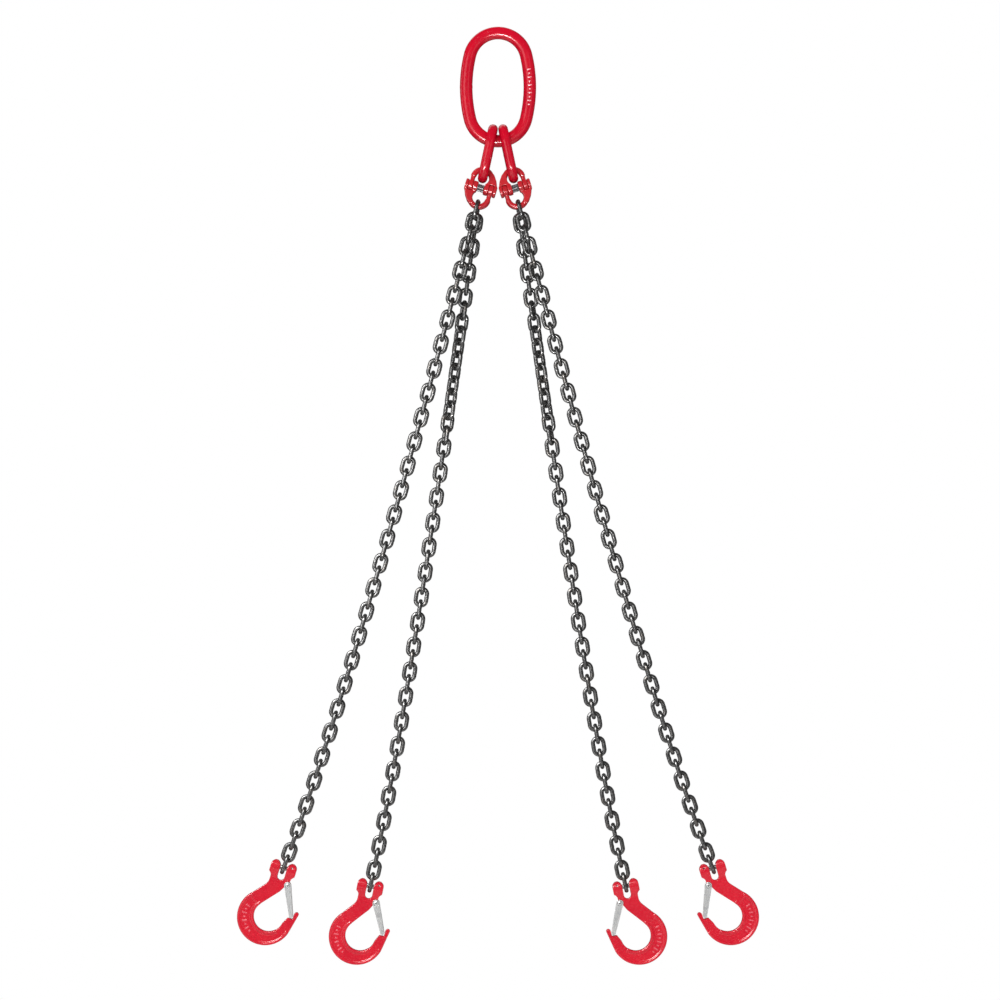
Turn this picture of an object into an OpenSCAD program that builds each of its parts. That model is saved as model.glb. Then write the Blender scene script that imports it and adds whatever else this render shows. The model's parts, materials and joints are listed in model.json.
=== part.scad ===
// Four leg chain sling, hanging from the seat at the top of its master link.
// Millimetres, +Z up, +X to the right, front towards -Y. The origin is the point
// inside the top of the master link where a crane hook bears.
// Everything is laid out for the left side and mirrored for the right side.

/* [Master link] */
// Bar diameter of the master link
master_bar = 21; // [19:0.5:21]
// Clear width inside the master link
master_w = 85; // [84:1:88]
// Clear length inside the master link
master_l = 159; // [155:1:170]
// Centreline radius of the master link's round ends
master_end_r = 48; // [46:1:50]

/* [Intermediate links] */
// Bar diameter of an intermediate link
inter_bar = 16; // [15:0.5:16]
// Clear width inside an intermediate link
inter_w = 34; // [34:0.5:36]
// Clear length inside an intermediate link
inter_l = 68; // [66:1:75]
// How far an intermediate link leans outward, in degrees
inter_lean = 12; // [12:0.5:14]

/* [Couplings] */
// Bar diameter of a coupling's bows
bow_bar = 8.8; // [8:0.2:8.8]
// Centreline radius of a coupling's bows
bow_r = 15.2; // [15:0.1:15.4]
// Height of a bow's centre above the load pin
bow_h = 16; // [16:0.5:18]
// Sideways offset of a bow's centre from the middle of the load pin
bow_off = 2; // [1.8:0.1:2.1]
// Radius of the lugs round the load pin
lug_r = 9.2; // [8.5:0.1:9.4]
// Diameter of a coupling's load pin
load_pin_d = 8; // [7:0.5:8.5]
// Diameter of the retaining sleeve on the load pin
sleeve_d = 11.8; // [11:0.2:12]
// How far a coupling leans outward, in degrees
coupling_lean = 17; // [16:0.5:18]
// How far a coupling leans away from its twin behind it, in degrees
twin_lean = 7; // [7:0.5:8]

/* [Chain] */
// Wire diameter of the chain
wire = 7; // [6.5:0.1:7.1]
// Clear length inside a chain link
link_l = 21.2; // [21:0.1:21.6]
// Outside width of a chain link
link_w = 24.5; // [24.3:0.1:25]
// Play between bars that bear on each other
play = 0.2; // [0.2:0.05:0.3]

/* [Hooks] */
// Inner radius of the hook's bowl
bowl_r = 24.8; // [24:0.2:25.2]
// Outer radius of the hook's back
back_r = 46.8; // [46:0.2:47.4]
// Thickness of the hook over its rims
hook_t = 15; // [13:0.5:16]
// Diameter of the clevis pin
clevis_pin_d = 8; // [7:0.5:8.2]
// Radius of the clevis ears round the clevis pin
ear_r = 10.8; // [10:0.1:11]

/* [Hidden] */
$fn = 48;
links = 55;               // links in each leg
segment_ends = [0, 7, 23, 39, links];

// What the outer and inner legs differ in: name, side along Y, the leg's lean as
// degrees at the top, its steady gain and its late gain, the lean of the hook, and
// the roll of the links in the stretch where the chain lies twisted.
OUTER = ["outer", -1, 14.3, 3, 3.2, 17, 0];
INNER = ["inner", 1, 7.8, 1.5, 3, 11.5, 45];
LEGS = [OUTER, INNER];
SIDES = ["left", "right"];
COUPLING_PARTS = ["upper", "lower", "pin", "sleeve"];
HOOK_PARTS = ["body", "clevis_pin", "spring_pin", "latch", "latch_rivet", "latch_spring"];

RED = [0.84, 0.02, 0.14];
DULL_RED = [0.72, 0.12, 0.15];
HOOK_RED = [0.88, 0.08, 0.18];
BLACK_STEEL = [0.16, 0.16, 0.17];
STEEL = [0.55, 0.55, 0.57];
ZINC = [0.78, 0.79, 0.8];
BLACK = [0.06, 0.06, 0.06];

// ---- Directions and layout of one leg ----

// Unit vector down a leg that leans outward by a degrees on the left side
function down(a) = [-sin(a), 0, -cos(a)];
// A point of a frame that leans outward by a and tips about its own X by tip
function leaned(p, a, tip) =
  let (y = p[1] * cos(tip) - p[2] * sin(tip), z = p[1] * sin(tip) + p[2] * cos(tip))
  [p[0] * cos(a) + z * sin(a), y, z * cos(a) - p[0] * sin(a)];

master_a = (master_w + master_bar) / 2;
master_b = (master_l + master_bar) / 2;
master_centre = [0, 0, -master_l / 2];
bottom_arc = master_centre - [0, 0, master_b - master_end_r];

// Crown of the left intermediate link, beside its twin on the master link's bar
crown_gap = 0.3;
crown_x = inter_bar / 2 + crown_gap;
crown_reach = master_end_r - (master_bar + inter_bar) / 2 - crown_gap;
inter_crown = bottom_arc - [crown_x, 0, sqrt(pow(crown_reach, 2) - pow(crown_x, 2))];
inter_r = (inter_w + inter_bar) / 2;
inter_straight = inter_l + inter_bar - 2 * inter_r;
inter_centre = inter_crown + (inter_l + inter_bar) / 2 * down(inter_lean);
inter_arc = inter_centre + inter_straight / 2 * down(inter_lean);

// Where the two upper bows sit, side by side on the intermediate link's lower bar
twin_y = 6.5;
bow_reach = inter_r - (inter_bar + bow_bar) / 2 - play;
bow_drop = sqrt(pow(bow_reach, 2) - pow(twin_y, 2));
load_lean = 15;                    // lean of the line along which the two bars bear
upper_contact = [-bow_off, 0, bow_h] + leaned([0, 0, bow_r], load_lean - coupling_lean, 0);

function tip(leg) = leg[1] * twin_lean;
function in_coupling(leg, p) = leaned(p, coupling_lean, tip(leg));
// Unit vector across the link's lower bar at a leg's place on it, leaning outward by a
function across(leg, a) = (bow_drop * down(a) + [0, leg[1] * twin_y, 0]) / bow_reach;
function coupling_pin(leg) =
  inter_arc + inter_r * across(leg, inter_lean) - (inter_r - bow_reach) * across(leg, load_lean)
  - in_coupling(leg, upper_contact);

// Chain: the lean of link i, the centre of the first link, and all the centres
half_link = (link_l + wire) / 2;
cross = wire + play;
function lean(leg, i) = let (t = (i - 1) / (links - 1)) leg[2] + leg[3] * t + leg[4] * pow(t, 6);
function lower_contact(leg) =
  [bow_off, 0, -bow_h] + leaned([0, 0, -bow_r], lean(leg, 1) - coupling_lean, 0);
function first_link(leg) =
  coupling_pin(leg) + in_coupling(leg, lower_contact(leg))
  + (half_link - (bow_bar + wire) / 2 - play) * down(lean(leg, 1));
function hop(leg, i) =
  let (a = lean(leg, i), b = lean(leg, i + 1))
  half_link * (down(a) + down(b)) - cross * down((a + b) / 2);
function centres(leg) = [for (i = 1, c = first_link(leg); i <= links; c = c + hop(leg, i), i = i + 1) c];

// Roll of link i: every second link is turned by a quarter, and a twisted stretch
// between the 8th and the 20th link comes and goes by 15 degrees a link
function roll(leg, i) = (i % 2 == 1 ? 90 : 0) + leg[6] * min(1, max(0, min(i - 8, 20 - i) / 3));

function clevis_centre(leg) =
  let (last = centres(leg)[links - 1])
  last + (half_link - (clevis_pin_d + wire) / 2 - play) * down(lean(leg, links));

module on_side(side) {
  if (side == "left") children();
  else mirror([1, 0, 0]) children();
}
module at_coupling(leg) {
  translate(coupling_pin(leg)) rotate([0, coupling_lean, 0]) rotate([tip(leg), 0, 0]) children();
}
module at_hook(leg) {
  translate(clevis_centre(leg)) rotate([0, leg[5], 0]) children();
}

// ---- Rings and bars ----

// Part of a ring in the XZ plane: bar of diameter d, from angle start over angle sweep
module bar_arc(d, r, start, sweep) {
  rotate([90, 0, 0]) rotate([0, 0, start]) rotate_extrude(angle = sweep) translate([r, 0]) circle(d = d);
}
// Oval link in the XZ plane, long axis along Z
module oval_link(d, r, straight) {
  union() {
    translate([0, 0, straight / 2]) bar_arc(d, r, 0, 180);
    translate([0, 0, -straight / 2]) bar_arc(d, r, 180, 180);
    for (side = [-1, 1]) translate([side * r, 0, 0]) cylinder(d = d, h = straight, center = true);
  }
}
// Cylinder along X between x0 and x1
module along_x(r, x0, x1) {
  translate([x0, 0, 0]) rotate([0, 90, 0]) cylinder(r = r, h = x1 - x0);
}
// Outline in the XZ plane given thickness t along Y
module plate(t) {
  rotate([90, 0, 0]) linear_extrude(t, center = true) children();
}

// ---- Master link and intermediate links ----

module master_link() {
  side_r = (pow(master_a, 2) + pow(master_b - master_end_r, 2) - pow(master_end_r, 2))
    / (2 * (master_a - master_end_r));
  meet = atan2(master_b - master_end_r, side_r - master_a);
  // the welds between the four arcs stand a little proud of the bar
  weld_d = master_bar + 0.12;
  weld = (side_r - master_a) * [-1, 0, 0] + side_r * [cos(meet), 0, sin(meet)];
  color(RED) translate(master_centre) union() {
    for (x = [-1, 1], z = [-1, 1]) translate([x * weld[0], 0, z * weld[2]]) sphere(d = weld_d);
    translate([0, 0, master_b - master_end_r]) bar_arc(master_bar, master_end_r, meet, 180 - 2 * meet);
    translate([0, 0, master_end_r - master_b]) bar_arc(master_bar, master_end_r, 180 + meet, 180 - 2 * meet);
    translate([master_a - side_r, 0, 0]) bar_arc(master_bar, side_r, -meet, 2 * meet);
    translate([side_r - master_a, 0, 0]) bar_arc(master_bar, side_r, 180 - meet, 2 * meet);
  }
}

module intermediate_link() {
  color(RED) translate(inter_centre) rotate([0, inter_lean, 0]) rotate([0, 0, 90])
    oval_link(inter_bar, inter_r, inter_straight);
}

// ---- Coupling, in its own frame: load pin along X, bow of the upper half above ----

sleeve_x = 5.4;                    // half length of the sleeve
inner_lug = [5.6, 13.3];           // X range of the lug beside the sleeve
tongue = [13.6, 21.2];             // X range of the other half's tongue
outer_lug = [21.5, 26.7];          // X range of the outer lug
slot_clear = 0.6;                  // room round the tongue's round end
bore_clear = 0.15;                 // room between a pin and its hole, on the radius
arm_t = 10;                        // thickness of the fork's arm along Y

// One half, bow upward: a tongue on the left and a fork on the right
module coupling_half() {
  left_x = -bow_off - bow_r;
  difference() {
    union() {
      translate([-bow_off, 0, bow_h]) bar_arc(bow_bar, bow_r, 20, 160);
      translate([left_x, 0, 0]) cylinder(d = tongue[1] - tongue[0] - 0.5, h = bow_h + 1);
      along_x(lug_r, -tongue[1], -tongue[0]);
      along_x(lug_r, inner_lug[0], outer_lug[1]);
      fork_arm();
    }
    along_x(lug_r + slot_clear, tongue[0] - 0.3, tongue[1] + 0.3);
    fork_mouth();
    along_x(load_pin_d / 2 + bore_clear, -outer_lug[1] - 1, outer_lug[1] + 1);
  }
}
// Thick arm between the bow and the fork's two lugs
module fork_arm() {
  plate(arm_t) difference() {
    polygon([
      [inner_lug[0] + 1, 0], [inner_lug[0] + 1, 9], [9.4, 16], [6.8, 28.6], [10, 30.5],
      [15.5, 27], [21.6, 18.4], [outer_lug[1] - 0.6, 8], [outer_lug[1], 0]
    ]);
    translate([-bow_off, bow_h]) circle(r = bow_r - bow_bar / 2 + 0.5);
  }
}
// The fork's slot is open below the round end of the tongue
module fork_mouth() {
  translate([tongue[0] - 0.3, -arm_t, -lug_r - 1])
    cube([tongue[1] - tongue[0] + 0.6, 2 * arm_t, lug_r + 1]);
}
module coupling_upper() {
  color(DULL_RED) coupling_half();
}
module coupling_lower() {
  color(DULL_RED) rotate([0, 180, 0]) coupling_half();
}
module coupling_pin_part() {
  color(STEEL) along_x(load_pin_d / 2, -outer_lug[1] + 1.2, outer_lug[1] - 1.2);
}
// Split sleeve with flutes along it, gripping the middle of the load pin
module coupling_sleeve() {
  flutes = 9;
  flute_r = 0.8;
  slit = 1.4;
  color(BLACK) difference() {
    along_x(sleeve_d / 2, -sleeve_x, sleeve_x);
    along_x(load_pin_d / 2 + bore_clear, -sleeve_x - 1, sleeve_x + 1);
    for (n = [1 : flutes]) rotate([n * 360 / (flutes + 1), 0, 0])
      translate([0, sleeve_d / 2 + 0.2, 0]) along_x(flute_r, -sleeve_x - 1, sleeve_x + 1);
    translate([-sleeve_x - 1, 2, -slit / 2]) cube([2 * sleeve_x + 2, sleeve_d, slit]);
  }
}

// ---- Chain ----

module chain_segment(leg, n) {
  r = (link_w - wire) / 2;
  c = centres(leg);
  color(BLACK_STEEL) for (i = [segment_ends[n - 1] + 1 : segment_ends[n]])
    translate(c[i - 1]) rotate([0, lean(leg, i), 0]) rotate([0, 0, roll(leg, i)])
      oval_link(wire, r, link_l + wire - 2 * r);
}

// ---- Hook, in its own frame: clevis pin along X through the origin, bowl below ----

bowl_c = [-0.3, -84.2];            // centre of the bowl's inner circle, X and Z
back_c = [-5.4, -87];              // centre of the hook's outer circle, X and Z
neck_dir = [cos(49), sin(49)];     // the neck's direction, up and to the throat's side
neck_normal = [-sin(49), cos(49)];
rim_proud = 0.4;                   // how far the rims stand out past the edges between them
neck_in = bowl_c + (bowl_r + rim_proud) * neck_normal - 3 * neck_dir;
neck_out = back_c + (back_r - rim_proud) * neck_normal - 3 * neck_dir;
throat_edge = bowl_c + (bowl_r + 2 * rim_proud) * neck_normal;
web_t = hook_t - 4;                // thickness of the panel between the rims
neck_t = hook_t - 2.4;
head_half = 22;                    // half width of the clevis head
shank_half = 17.2;                 // half width of the shank below the head
slot_half = 5.9;                   // half width of the clevis slot
slot_foot = -14.8;                 // centre of the slot's round foot
pivot = [15, -25.8];               // latch rivet, X and Z
rivet_r = 2.1;
lug_half = 2.6;                    // half thickness of the lug that the rivet crosses
lug_boss_r = 5.4;
pocket_r = 5.9;                    // pocket for the latch spring, on both sides of the lug
rim_w = 5.4;
horn_x = 39;                       // inner face of the horn at the hook's tip
seat_z = -76.9;                    // shoulder in front of the horn

module neck_outline() {
  fillet_r = 18;
  run = (-shank_half - neck_out[0]) / neck_dir[0];
  corner = neck_out + run * neck_dir;
  fillet_c = [
    -shank_half - fillet_r,
    corner[1] + fillet_r * (1 + neck_normal[0]) / neck_normal[1]
  ];
  difference() {
    polygon([
      neck_in, neck_out, fillet_c - fillet_r * neck_normal, [-shank_half, fillet_c[1]],
      [-shank_half, -8], [shank_half, -8], [shank_half, -18], neck_in + 41 * neck_dir
    ]);
    translate(fillet_c) circle(r = fillet_r);
  }
}
// Outline of the bowl up to the horn, open at the throat
module bowl_outline() {
  difference() {
    union() {
      translate(back_c) circle(r = back_r - rim_proud);
      polygon([
        [40, -97.2], [30, -90], [horn_x, seat_z], [horn_x + 0.4, -67], [41.6, -64.2],
        [45, -64.2], [47, -66.8]
      ]);
    }
    translate(bowl_c) circle(r = bowl_r + rim_proud);
    polygon([
      throat_edge, throat_edge + 60 * neck_dir, [60, -60], [horn_x, -60], [horn_x, seat_z],
      [30.7, seat_z], [18, -100.7], bowl_c
    ]);
  }
}
// Rim with bevelled edges, between radii a and b, centred on c
module rim(c, a, b, start, sweep) {
  half = hook_t / 2;
  bevel = 1.6;
  translate([c[0], 0, c[1]]) rotate([90, 0, 0]) rotate([0, 0, start]) rotate_extrude(angle = sweep)
    polygon([
      [a + bevel, -half], [b - bevel, -half], [b, bevel - half], [b, half - bevel],
      [b - bevel, half], [a + bevel, half], [a, half - bevel], [a, bevel - half]
    ]);
}
// Clevis head: two round ears on a block that thins towards the neck
module clevis_head() {
  ear_half = (head_half - slot_half) / 2;
  foot = -22;
  block = ear_r - 0.2;
  thin = neck_t / 2 + 0.2;
  difference() {
    intersection() {
      plate(2 * ear_r + 2) union() {
        translate([-head_half, foot]) square([2 * head_half, ear_r - ear_half - foot]);
        for (side = [-1, 1])
          translate([side * (slot_half + ear_half), ear_r - ear_half + 0.4]) circle(r = ear_half);
      }
      union() {
        along_x(ear_r, -head_half, head_half);
        rotate([90, 0, 90]) linear_extrude(2 * head_half, center = true)
          polygon([
            [-block, 0], [block, 0], [block, -4], [thin, -19], [thin, foot],
            [-thin, foot], [-thin, -19], [-block, -4]
          ]);
      }
    }
    // the shoulders below the ears round in towards the shank
    for (side = [-1, 1]) translate([side * (shank_half + 9.6), 0, -19]) rotate([90, 0, 0])
      cylinder(r = 10, h = 40, center = true);
  }
}
module hook_body() {
  color(HOOK_RED) difference() {
    union() {
      plate(web_t) bowl_outline();
      plate(neck_t) neck_outline();
      rim(back_c, back_r - rim_w, back_r, 136, 206);
      rim(bowl_c, bowl_r, bowl_r + rim_w, 136, 177);
      clevis_head();
      at_pivot() cylinder(r = lug_boss_r, h = 2 * lug_half, center = true);
    }
    for (side = [-1, 1]) at_pivot() translate([0, 0, side * (lug_half + 10)])
      cylinder(r = pocket_r, h = 20, center = true);
    translate([-slot_half, -20, slot_foot]) cube([2 * slot_half, 40, 40]);
    translate([0, 0, slot_foot]) rotate([90, 0, 0]) cylinder(r = slot_half, h = 40, center = true);
    along_x(clevis_pin_d / 2 + bore_clear, -head_half - 1, head_half + 1);
    at_spring_pin() cylinder(r = spring_pin_r + bore_clear / 2, h = 40, center = true);
    at_pivot() cylinder(r = rivet_r + bore_clear, h = 40, center = true);
  }
}
module at_pivot() {
  translate([pivot[0], 0, pivot[1]]) rotate([90, 0, 0]) children();
}

groove_r = 2.2;                    // neck of the clevis pin that the spring pin crosses
spring_pin_at = [14, 3.9];         // the spring pin's X and Z
spring_pin_r = 1.5;
spring_pin_bore = 0.85;
module at_spring_pin() {
  translate([spring_pin_at[0], 0, spring_pin_at[1]]) rotate([90, 0, 0]) children();
}
module clevis_pin() {
  end = head_half - 0.8;
  groove = 1.9;                    // half length of the groove
  color(STEEL) union() {
    along_x(clevis_pin_d / 2, -end, spring_pin_at[0] - groove);
    along_x(groove_r, spring_pin_at[0] - groove - 0.1, spring_pin_at[0] + groove + 0.1);
    along_x(clevis_pin_d / 2, spring_pin_at[0] + groove, end);
  }
}
// Slotted spring pin across the clevis pin's groove
module spring_pin() {
  color(STEEL) at_spring_pin() difference() {
    cylinder(r = spring_pin_r, h = 17.6, center = true);
    cylinder(r = spring_pin_bore, h = 20, center = true);
    translate([0, -0.3, -10]) cube([3, 0.6, 20]);
  }
}

// Latch: two cheeks on the rivet, joined by a web along the side away from the bowl
sheet = 1.2;
cheek_y = neck_t / 2 + 0.4;        // inner face of a cheek
eye_r = 5.8;
latch_tip = [35.1, -72.6];         // centre of the latch's round tip
tip_r = 3.4;
latch_len = norm(latch_tip - pivot);
latch_angle = atan2(latch_tip[0] - pivot[0], pivot[1] - latch_tip[1]);
edge_turn = asin((eye_r - tip_r) / latch_len);

// In the latch's own frame the pivot is the origin and the tip lies straight down
module at_latch() {
  translate([pivot[0], 0, pivot[1]]) rotate([0, -latch_angle, 0]) children();
}
module cheek_outline() {
  union() {
    circle(r = eye_r);
    translate([0, -latch_len]) circle(r = tip_r);
    polygon([
      eye_r * [-cos(edge_turn), -sin(edge_turn)], eye_r * [cos(edge_turn), -sin(edge_turn)],
      [0, -latch_len] + tip_r * [cos(edge_turn), -sin(edge_turn)],
      [0, -latch_len] + tip_r * [-cos(edge_turn), -sin(edge_turn)]
    ]);
  }
}
module latch() {
  web_top = 15;
  color(ZINC) at_latch() difference() {
    union() {
      for (side = [-1, 1]) translate([0, side * (cheek_y + sheet / 2), 0]) plate(sheet) cheek_outline();
      intersection() {
        plate(2 * cheek_y + 0.2) cheek_outline();
        translate([eye_r, 0, 0]) rotate([0, edge_turn, 0])
          translate([-sheet, -10, -latch_len - 6]) cube([sheet, 20, latch_len + 6 - web_top]);
      }
    }
    rotate([90, 0, 0]) cylinder(r = rivet_r + bore_clear, h = 40, center = true);
  }
}
module latch_rivet() {
  head = cheek_y + sheet + 0.15;
  color(ZINC) at_pivot() union() {
    cylinder(r = rivet_r, h = 2 * head, center = true);
    for (side = [-1, 1]) translate([0, 0, side * (head + 0.7)]) cylinder(r = 3.9, h = 1.4, center = true);
  }
}
// Double torsion spring: a coil on each side of the lug, and a bridge that bears on the web
module latch_spring() {
  wire_r = 0.6;
  coil_r = 3.05;
  coil_y = 4.5;
  pitch = 1.1;
  leg_y = coil_y + pitch;
  leg_len = 19;
  color(STEEL) at_latch() union() {
    for (side = [-1, 1]) {
      rotate([90, 0, 0]) translate([0, 0, side * coil_y]) rotate_extrude()
        for (turn = [-1:1]) translate([coil_r, turn * pitch]) circle(r = wire_r);
      translate([coil_r, side * leg_y, -leg_len]) cylinder(r = wire_r, h = leg_len);
      translate([coil_r, side * leg_y, -leg_len]) sphere(r = wire_r);
    }
    translate([coil_r, 0, -leg_len]) rotate([90, 0, 0]) cylinder(r = wire_r, h = 2 * leg_y, center = true);
  }
}

// ---- The nodes ----

master_link();
for (side = SIDES)
  on_side(side) intermediate_link();
for (leg = LEGS, side = SIDES) {
  coupling = str("coupling_", leg[0], "_", side, "_");
  hook = str("hook_", leg[0], "_", side, "_");
  on_side(side) at_coupling(leg) coupling_upper();
  on_side(side) at_coupling(leg) coupling_lower();
  on_side(side) at_coupling(leg) coupling_pin_part();
  on_side(side) at_coupling(leg) coupling_sleeve();
  for (n = [1:4])
    on_side(side) chain_segment(leg, n);
  on_side(side) at_hook(leg) hook_body();
  on_side(side) at_hook(leg) clevis_pin();
  on_side(side) at_hook(leg) spring_pin();
  on_side(side) at_hook(leg) latch();
  on_side(side) at_hook(leg) latch_rivet();
  on_side(side) at_hook(leg) latch_spring();
}
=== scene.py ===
"""Four leg chain sling: the pieces, finishes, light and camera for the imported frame.

Each part is built in millimetres in its own frame, and its points become metres when
its mesh is made. Frames come from the joints. The left side is built, and the right
side is its mirror image.
"""
import json
from math import atan2, degrees, pi, radians

import bmesh
import bpy
import numpy as np
from mathutils import Matrix, Vector


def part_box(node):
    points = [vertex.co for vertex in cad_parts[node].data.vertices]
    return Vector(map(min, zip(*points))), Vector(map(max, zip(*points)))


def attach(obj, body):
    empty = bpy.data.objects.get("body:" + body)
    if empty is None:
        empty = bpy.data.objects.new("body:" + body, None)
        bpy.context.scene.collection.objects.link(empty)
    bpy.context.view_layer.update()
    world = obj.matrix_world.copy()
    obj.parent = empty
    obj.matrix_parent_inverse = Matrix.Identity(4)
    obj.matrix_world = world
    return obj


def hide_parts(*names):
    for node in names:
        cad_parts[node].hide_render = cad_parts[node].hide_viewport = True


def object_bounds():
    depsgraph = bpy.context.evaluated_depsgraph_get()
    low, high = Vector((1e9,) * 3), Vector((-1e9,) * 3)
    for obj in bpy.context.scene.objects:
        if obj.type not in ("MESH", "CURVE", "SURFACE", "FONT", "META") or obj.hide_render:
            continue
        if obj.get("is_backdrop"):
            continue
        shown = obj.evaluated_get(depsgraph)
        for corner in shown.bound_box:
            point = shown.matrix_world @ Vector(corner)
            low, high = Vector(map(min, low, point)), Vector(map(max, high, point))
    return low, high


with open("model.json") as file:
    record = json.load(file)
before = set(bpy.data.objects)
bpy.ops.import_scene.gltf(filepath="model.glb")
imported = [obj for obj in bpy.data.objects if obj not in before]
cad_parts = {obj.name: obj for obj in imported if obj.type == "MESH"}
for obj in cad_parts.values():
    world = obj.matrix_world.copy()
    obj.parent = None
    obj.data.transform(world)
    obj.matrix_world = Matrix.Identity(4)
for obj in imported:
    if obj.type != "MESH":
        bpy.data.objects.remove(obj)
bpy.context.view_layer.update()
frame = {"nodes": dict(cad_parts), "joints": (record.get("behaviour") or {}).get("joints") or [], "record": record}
JOINTS = {joint["name"]: joint for joint in frame["joints"]}
BODY_OF = {node: body for body, nodes in frame["record"]["behaviour"]["bodies"].items() for node in nodes}
MM = 0.001
MIRROR = Matrix.Diagonal((-1, 1, 1, 1))
X_TO_Y = Matrix.Rotation(pi / 2, 4, "Z")
SIDES = ("left", "right")
LEGS = ("outer", "inner")

# ---- Driving dimensions, as in the part's source, in millimetres and degrees ----

MASTER_END_R = 48
INTER_BAR, INTER_R, INTER_STRAIGHT = 16, 25, 34
BOW_H, BOW_OFF, LUG_R = 16, 2, 7
LOAD_PIN_R, LOAD_PIN_HALF = 4, 25.5
SLEEVE_R, SLEEVE_HALF, FLUTES = 5.9, 5.4, 9
WIRE, LINK_L, LINK_W, PLAY = 7, 21.2, 24.5, 0.2
LINKS = 55
SEGMENT_ENDS = (0, 7, 23, 39, LINKS)
# Lean of a leg's links: degrees at the top, steady gain and late gain, then the roll
# of the links in the twisted stretch
LEAN = {"outer": (14.3, 3, 3.2, 0), "inner": (7.8, 1.5, 3, 45)}
CLEVIS_PIN_R, CLEVIS_PIN_HALF, GROOVE_R, GROOVE_HALF = 4, 21.2, 2.2, 1.9
SPRING_PIN_AT, SPRING_PIN_HALF = (14, 0, 3.9), 8.8
SPRING_PIN_R, SPRING_PIN_BORE = 1.5, 0.85
BACK_C, BACK_R = (-5.4, -87), 46.8
EAR_X = 13.95
PIVOT, LATCH_TIP = (15, 0, -25.8), (35.1, 0, -72.6)
CHEEK_Y, SHEET, RIVET_R, RIVET_HEAD_R = 6.7, 1.2, 2.1, 3.6
EYE_R, WEB_TOP = 5.8, 15


# ---- Meshes ----

def mesh_of(name, points, faces, material, merge=True, crease=None):
    """A smooth mesh of points in millimetres. Edges sharper than crease degrees stay sharp."""
    mesh = bpy.data.meshes.new(name)
    mesh.from_pydata((np.asarray(points) * MM).tolist(), [], faces)
    if merge:
        shape = bmesh.new()
        shape.from_mesh(mesh)
        bmesh.ops.remove_doubles(shape, verts=shape.verts, dist=1e-7)
        bmesh.ops.dissolve_degenerate(shape, dist=1e-8, edges=shape.edges)
        bmesh.ops.recalc_face_normals(shape, faces=shape.faces)
        shape.to_mesh(mesh)
        shape.free()
    mesh.shade_smooth()
    if crease:
        mesh.set_sharp_from_angle(angle=radians(crease))
    mesh.materials.append(material)
    return mesh


def quads(rows, cols, ring=False):
    """Faces of a tube of rows of points; a ring's last row joins its first."""
    row = np.arange(rows if ring else rows - 1)[:, None]
    col = np.arange(cols)[None, :]
    after, beside = (row + 1) % rows, (col + 1) % cols
    corners = (row * cols + col, after * cols + col, after * cols + beside, row * cols + beside)
    return np.stack(np.broadcast_arrays(*corners), -1).reshape(-1, 4).tolist()


def tube(places, out, across, radii, sides):
    """Points round each place, at its radius or radii, in the plane of out and across."""
    turn = np.arange(sides) * 2 * pi / sides
    radii = np.broadcast_to(np.asarray(radii, float).reshape(len(places), -1), (len(places), sides))
    spokes = np.cos(turn)[None, :, None] * out[:, None] + np.sin(turn)[None, :, None] * across[:, None]
    return (places[:, None] + radii[:, :, None] * spokes).reshape(-1, 3)


def arc(centre, radius, start, sweep, step):
    """Stations along part of a circle in the XZ plane: places, and directions out from its centre."""
    count = max(2, round(radius * abs(radians(sweep)) / step))
    angle = np.radians(start + sweep * np.arange(count) / count)
    out = np.stack([np.cos(angle), 0 * angle, np.sin(angle)], 1)
    return np.array(centre, float) + radius * out, out


def straight(start, end, out, step):
    """Stations along a line, which all face the same way."""
    start, end = np.array(start, float), np.array(end, float)
    count = max(2, round(np.linalg.norm(end - start) / step))
    share = np.arange(count)[:, None] / count
    return start + share * (end - start), np.tile(np.array(out, float), (count, 1))


def joined(*runs):
    return np.concatenate([run[0] for run in runs]), np.concatenate([run[1] for run in runs])


def oval(radius, length, step):
    """Stations round an oval in the XZ plane, with straight sides of that length along Z."""
    half = length / 2
    return joined(
        arc((0, 0, half), radius, 0, 180, step),
        straight((-radius, 0, half), (-radius, 0, -half), (-1, 0, 0), step),
        arc((0, 0, -half), radius, 180, 180, step),
        straight((radius, 0, -half), (radius, 0, half), (1, 0, 0), step),
    )


def bar_ring(name, stations, bar, sides, swell, material):
    """A ring of round bar along closed stations in the XZ plane. swell gives what stands proud."""
    places, out = stations
    across = np.tile([0.0, 1.0, 0.0], (len(places), 1))
    turn = np.arange(sides) * 2 * pi / sides
    proud = np.broadcast_to(swell(places, turn), (len(places), sides))
    points = tube(places, out, across, bar / 2 + proud, sides)
    mesh = mesh_of(name, points, quads(len(places), sides, ring=True), material, merge=False)
    paint_on(mesh, "raised", proud)
    return mesh


def plateau(x, half, blur):
    """1 where x is within half of 0, 0 outside, with a soft edge blur wide."""
    t = np.clip((half - np.abs(x)) / blur + 0.5, 0, 1)
    return t * t * (3 - 2 * t)


def weld_bead(places, at, width, height):
    """Swelling of a butt weld at one place, with the faint necks that trimming leaves beside it."""
    far = np.linalg.norm(places - np.array(at, float), axis=1)
    bead = height * np.exp(-(far / width) ** 2)
    return (bead - 0.3 * height * np.exp(-((far - 2.1 * width) / (0.5 * width)) ** 2))[:, None]


def marks(along, aside, pitch, reach):
    """Heights from 0 to 1 of a row of short bars, long and short by turns, over twice reach."""
    nth = np.floor(along / pitch)
    middle = along - (nth + 0.5) * pitch
    half = np.where(nth % 2 == 0, 0.3, 0.14) * pitch * 1.9
    return plateau(middle, 0.17 * pitch, 0.2 * pitch) * plateau(aside, half, 0.2 * pitch) \
        * (np.abs(along) < reach)


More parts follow.
